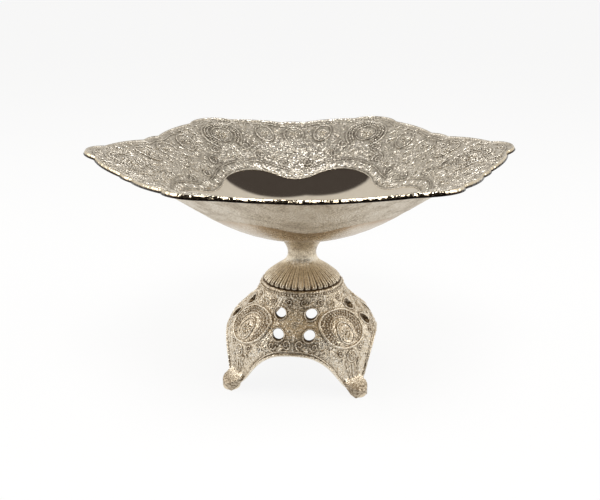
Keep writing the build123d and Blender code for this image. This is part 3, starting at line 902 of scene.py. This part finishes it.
def on_bowl(azimuth, u, v, side=1):
    """Points on the dish, u outwards along an azimuth and v sideways from it."""
    a, w = radians(azimuth), side * np.asarray(v, float)
    return on_dish(u * np.cos(a) - w * np.sin(a), u * np.sin(a) + w * np.cos(a))


def six(azimuth, u, v, mirrored=False):
    """One drawn line in the six sectors of the dish."""
    return [line for line, _ in repeated(on_bowl, 6, azimuth, u, v, mirrored)]


def plan_arc(centre, radius, start, end):
    """Points on an arc in plan, its angles from straight out."""
    return arc(centre[::-1], radius, start, end, 1.0)[::-1]


def plan_curl(centre, radius, start, turns, end_radius):
    """A scroll in plan."""
    return curl(centre[::-1], radius, start, turns, end_radius, 0.9)[::-1]


medal = (medal_out, 0.0)
ridge(bowl_ridges, six(0, *plan_arc(medal, 16.4, -146, 146)), 0.8)
ridge(bowl_ridges, six(0, *plan_arc(medal, 8.6, 0, 360)), 0.5)
ridge(bowl_ridges, six(0, *plan_curl((104.0, 14.0), 4.4, 40, 1.3, 0.9), mirrored=True), 0.75, 0.4)
bowl_beads += six(0, *plan_arc(medal, 13.9, -142, 142)) + six(0, *plan_arc(medal, 11.6, -138, 138))
oval_t = np.linspace(0, 2 * pi, 60)
oval_plan = oval_out + 9.4 * np.cos(oval_t), oval_aside + 6.6 * np.sin(oval_t)
ridge(bowl_ridges, six(0, *oval_plan, mirrored=True), 0.7)
shield_head = plan_arc((shield_out, 0.0), 8.0, 0, 116)
shield_plan = np.append(shield_head[0], 95.8), np.append(shield_head[1], 0.0)
ridge(bowl_ridges, six(30, *shield_plan, mirrored=True), 0.75)
ridge(bowl_ridges, six(0, *plan_curl((93.0, 21.0), 5.0, 250, 1.4, 0.9), mirrored=True), 0.7, 0.4)
ridge(bowl_ridges, six(30, *plan_curl((86.5, 9.5), 3.6, 90, 1.2, 0.8), mirrored=True), 0.6, 0.35)

flowers = [(0, medal_out, 0, 6.0), (0, 140.2, 0, 2.6), (0, oval_out, oval_aside, 4.2), (30, shield_out, 0, 4.4)]
for azimuth, radius, size in ((0, 96.5, 3.4), (8.0, 95.5, 2.8), (19.0, 92.0, 3.2)):
    flowers.append((0, *polar(radius, azimuth), size))
for azimuth, u, v, size in flowers:
    spots(bowl_dots, on_bowl, 6, azimuth, u, v, size, mirrored=v > 0)
medal_leaves = ((98.5, 0, 4.6, 180), (99.5, 4.6, 4.2, 150), (129.5, 24.0, 5.2, 20), (122.0, 22.4, 4.6, 35),
                (134.0, 19.0, 3.6, -20), (126.5, 32.0, 3.8, 20), (112.0, 23.6, 4.0, 60),
                (104.8, 22.6, 3.4, -30), (98.0, 33.4, 3.2, 190), (124.0, 41.0, 3.4, 30))
shield_leaves = ((98.0, 5.6, 3.8, 155), (104.6, 9.8, 3.8, 150), (92.0, 3.0, 3.2, 165), (111.0, 13.4, 3.8, 150),
                 (119.0, 13.8, 3.8, 40), (125.6, 8.6, 3.0, 50))
for azimuth, table in ((0, medal_leaves), (30, shield_leaves)):
    for u, v, size, lie in table:
        spots(bowl_leaves, on_bowl, 6, azimuth, u, v, size, lie, v > 0)
for azimuth in np.arange(2.5, 25, 5.0):
    u, v = polar(centre_reach(azimuth)[0] + 4.6, azimuth)
    spots(bowl_leaves, on_bowl, 6, 0, u, v, 3.3, azimuth, True)
for lie in range(-75, 76, 25):
    u, v = polar(5.4, lie)
    spots(bowl_leaves, on_bowl, 6, 30, 74.5 + u, v, 3.8, lie)
along = np.linspace(0, 360, 720)


def followed(reach):
    """A line right round the dish at a reach for each angle."""
    return on_dish(*(reach * polar(1.0, along)))[0]


for reach, width in ((centre_reach(along) + 0.5, 0.55), (centre_reach(along) + 9.6 * 0.85, 0.4),
                     (edge_reach(along, 7.0), 0.5)):
    ridge(bowl_ridges, [followed(reach)], width)

# Small leaves strewn over the bare ground of the band.
ground_pitch = 3.6
ground_gap = 1.9
ground_r, ground_a = strewn(np.arange(86.0, 142.0, ground_pitch),
                            np.arange(0, 360, degrees(ground_pitch / 112)), (1.3, 0.7),
                            lambda r, a: (r > centre_reach(a) + 10.5) & (r < edge_reach(a) - 8.5))
ground_lie = (ground_a + 80 * np.sin(np.radians(ground_a * 12)) * np.cos(ground_r * 0.16)
              + chance.uniform(-35, 35, ground_r.shape))
ground_size = chance.uniform(1.3, 2.3, ground_r.shape)
ground = polar(ground_r, ground_a)
here, facing = on_dish(*ground)
step = 0.2 * polar(1.0, ground_lie)
ahead, _ = on_dish(*(ground + step))
for k in clear_of(here, drawn_places(bowl_ridges, bowl_beads, bowl_dots + bowl_leaves), ground_gap):
    bowl_leaves.append((here[k], facing[k], ahead[k] - here[k], ground_size[k]))

# Polished plate in the middle: mirror bright, with the faintest wipe marks.
mirror_plate = plate("polished_silver_plate", ("#d9d1c3", "#d2c9ba", "#c4baa9"), (0.05, 0.09),
                     30.0, 6.0, 0.004, 0.2)
# Chased and matted ground: pale ridges, grey-brown tarnish in the hollows.
chased_plate = plate("chased_silver_plate", ("#efe9de", "#c0b8aa", "#625a4e"), (0.22, 0.42),
                     10.0, 1.9, 0.6, 0.5, 0.35)
# The back of the sheet: the chasing shows through as a pitted ground, and below it is smooth and
# tarnished brown where cloths don't reach.
pitted_back = plate("pitted_back_of_chasing", ("#ece5d8", "#cfc3af", "#8f7f69"), (0.4, 0.55),
                    14.0, 1.3, 0.5, 0.4, 0.4)
smooth_back = plate("tarnished_back_of_sheet", ("#c9baa1", "#ae9068", "#835c32"), (0.24, 0.42),
                    26.0, 2.0, 0.1, 0.5)
for finish in (chased_plate, mirror_plate, pitted_back, smooth_back):
    bowl.data.materials.append(finish)
centres, normals = np.zeros((2, len(bowl.data.polygons) * 3))
bowl.data.polygons.foreach_get("center", centres)
bowl.data.polygons.foreach_get("normal", normals)
centres, looks_down = centres.reshape(-1, 3) * 1000, normals[2::3] < 0
plan_angle = np.degrees(np.arctan2(centres[:, 1], centres[:, 0]))
in_centre = np.hypot(centres[:, 0], centres[:, 1]) < centre_reach(plan_angle)
finish_index = np.where(looks_down, np.where(in_centre, 3, 2), np.where(in_centre, 1, 0))
bowl.data.polygons.foreach_set("material_index", finish_index.astype(np.int32))


def bowl_shade(co):
    """Only the chased band holds tarnish, close round its raised work."""
    angle = np.degrees(np.arctan2(co[:, 1], co[:, 0]))
    chased = np.hypot(co[:, 0], co[:, 1]) > centre_reach(angle) - 0.2
    return np.where(chased, close_to(co, drawn_places(bowl_ridges, bowl_beads, bowl_dots), 1.6), 0.0)


settle(bowl, bowl_shade)
fitted(bowl, "plated_sheet", "bowl")

# The chased work on the band: scrolls, rows of beads, rosettes and leaves, raised from behind.
bowl_bead_pitch = 2.2
bowl_bead_radius = 0.85
decorated("bowl", (bowl_ridges, bowl_beads, bowl_dots, bowl_leaves), sides=6, petals=8, leaf_share=1.0,
          bead_sizes=(bowl_bead_pitch, bowl_bead_radius), finish=chased_plate, slot="plated_sheet")

# The rim border: a half round strip of plated brass with a groove for the sheet, soldered over
# the whole scalloped edge and polished bright.
border_proud = 0.9
border_thick = sheet + 2 * border_proud
border_section = [(0.0, 0.1), (0.15, 0.02), (0.6, 0.0), (1.6, 0.0), (2.3, 0.06), (2.8, 0.3), (2.8, 0.7),
                  (2.5, 0.9), (2.0, 1.0), (1.6, 0.98), (1.2, 0.84), (0.8, 0.6), (0.42, 0.35)]
inner_slope_rows = (6, 7, 8)
border_rows = []
for inset, share in border_section:
    reach = edge_reach(bowl_angles, inset)
    level = bowl_bottom - border_proud + np.interp(reach, dish_r, dish_h) + border_thick * share
    border_rows.append(ringed(reach, bowl_angles, level))
border = lay_rows("rim_border_strip", np.array(border_rows), ring=True)
# Plate polished bright on the strip's face, and nearly black low on its outer face, which is painted shade.
border_plate = plate("bright_silver_plate_on_border_with_painted_shade", ("#e4d8c0", "#d0c0a2", "#2a221b"), (0.1, 0.24),
                     6.0, 3.0, 0.5, 1.0)
for finish in (border_plate, chased_plate):
    border.data.materials.append(finish)
row_number = np.arange(len(border.data.polygons)) // len(bowl_angles)
border.data.polygons.foreach_set("material_index", np.isin(row_number, inner_slope_rows).astype(np.int32))


def border_shade(co):
    """Painted shade: the lower part of the strip's outer face is nearly black."""
    reach = edge_reach(np.degrees(np.arctan2(co[:, 1], co[:, 0])))
    inset = reach - np.hypot(co[:, 0], co[:, 1])
    level = co[:, 2] - bowl_bottom + border_proud - np.interp(reach - inset, dish_r, dish_h)
    # Painted shade low on the outer face of the strip.
    return (1 - smooth(level / border_thick, 0.3, 0.62)) * (1 - smooth(inset, 1.6, 2.2))


settle(border, border_shade)
fitted(border, "polished_border", "rim_border")

# The table, the light and the camera. A white table top under a white backdrop, a soft light on
# either side and one in front, and a dim room beyond, which the polished middle shows.
floor_mesh = bpy.data.meshes.new("table_top")
floor_mesh.from_pydata([(-20, -20, 0), (20, -20, 0), (20, 20, 0), (-20, 20, 0)], [], [(0, 1, 2, 3)])
floor = placed("table_top", floor_mesh)
paper = bpy.data.materials.new("white_paper")
paper.use_nodes = True
tree = paper.node_tree
tree.nodes.clear()
path = add(tree, "ShaderNodeLightPath").outputs
seen = path["Is Camera Ray"]
for ray in ("Is Glossy Ray", "Is Transmission Ray"):
    seen = add(tree, "ShaderNodeMath", {"operation": "MAXIMUM"}, {0: seen, 1: path[ray]})
glow_share = add(tree, "ShaderNodeMath", {"operation": "MULTIPLY"}, {0: seen, 1: 0.9})
matt = add(tree, "ShaderNodeBsdfDiffuse", {}, {"Color": linear("#f4f3f1")})
white = add(tree, "ShaderNodeEmission", {}, {"Color": (1, 1, 1, 1), "Strength": 1.0})
mixed = add(tree, "ShaderNodeMixShader", {}, {0: glow_share, 1: matt, 2: white})
add(tree, "ShaderNodeOutputMaterial", {}, {"Surface": mixed})
floor_mesh.materials.append(paper)

world = bpy.data.worlds.new("studio")
bpy.context.scene.world = world
world.use_nodes = True
tree = world.node_tree
tree.nodes.clear()
way = add(tree, "ShaderNodeSeparateXYZ", {}, {0: add(tree, "ShaderNodeTexCoord").outputs["Generated"]}).outputs
aside = add(tree, "ShaderNodeMath", {"operation": "ABSOLUTE"}, {0: way["X"]})
ahead = add(tree, "ShaderNodeMath", {"operation": "MULTIPLY_ADD"}, {0: aside, 1: -0.3, 2: way["Y"]})
back = add(tree, "ShaderNodeMath", {"operation": "MINIMUM"}, {0: way["Y"], 1: 0.0})
sideways = add(tree, "ShaderNodeMath", {"operation": "MULTIPLY_ADD"}, {0: back, 1: 1.2, 2: aside})
dim = 1.0
for value, low, high, start, end in ((way["Z"], 0.02, 0.08, 0.0, 1.0), (sideways, 0.5, 0.66, 1.0, 0.0),
                                     (ahead, 0.35, 0.39, 1.0, 0.0)):
    edge = add(tree, "ShaderNodeMapRange", {"interpolation_type": "SMOOTHSTEP"},
               {"Value": value, "From Min": low, "From Max": high, "To Min": start, "To Max": end})
    dim = add(tree, "ShaderNodeMath", {"operation": "MULTIPLY"}, {0: dim, 1: edge})
behind = add(tree, "ShaderNodeMapRange", {}, {"Value": way["Y"], "From Min": -0.5, "From Max": 0.2})
gloom = add(tree, "ShaderNodeMix", {"data_type": "RGBA"}, {0: behind, 6: linear("#241f1c"),
                                                           7: linear("#524c49")}).outputs[2]
room = add(tree, "ShaderNodeMix", {"data_type": "RGBA"}, {0: dim, 6: linear("#ece8e2"), 7: gloom}).outputs[2]
camera_ray = add(tree, "ShaderNodeLightPath").outputs["Is Camera Ray"]
shown = add(tree, "ShaderNodeMix", {"data_type": "RGBA"}, {0: camera_ray, 6: room, 7: (1, 1, 1, 1)}).outputs[2]
sky = add(tree, "ShaderNodeBackground", {}, {"Color": shown, "Strength": 1.0})
add(tree, "ShaderNodeOutputWorld", {}, {"Surface": sky})

for name, place, tilt, size, power in (("soft_left", (-1.1, 0.1, 0.9), (0.0, radians(-52), 0.0), 0.9, 5.5),
                                       ("soft_right", (1.1, -0.3, 0.9), (0.0, radians(52), 0.0), 0.9, 6.5),
                                       ("soft_front", (0.0, -0.55, 1.35), (radians(24), 0.0, 0.0), 0.7, 13.0)):
    lamp = bpy.data.lights.new(name, "AREA")
    lamp.size, lamp.energy = size, power
    holder = placed(name, lamp)
    holder.location, holder.rotation_euler = place, tilt

camera = bpy.data.cameras.new("camera")
camera.lens = 48.0
eye = placed("camera", camera)
eye.location = (-0.0345, -0.5496, 0.2733)
eye.rotation_euler = (pi / 2 - 0.321, 0.0, -0.060)
bpy.context.scene.camera = eye
bpy.context.scene.view_settings.view_transform = "Standard"
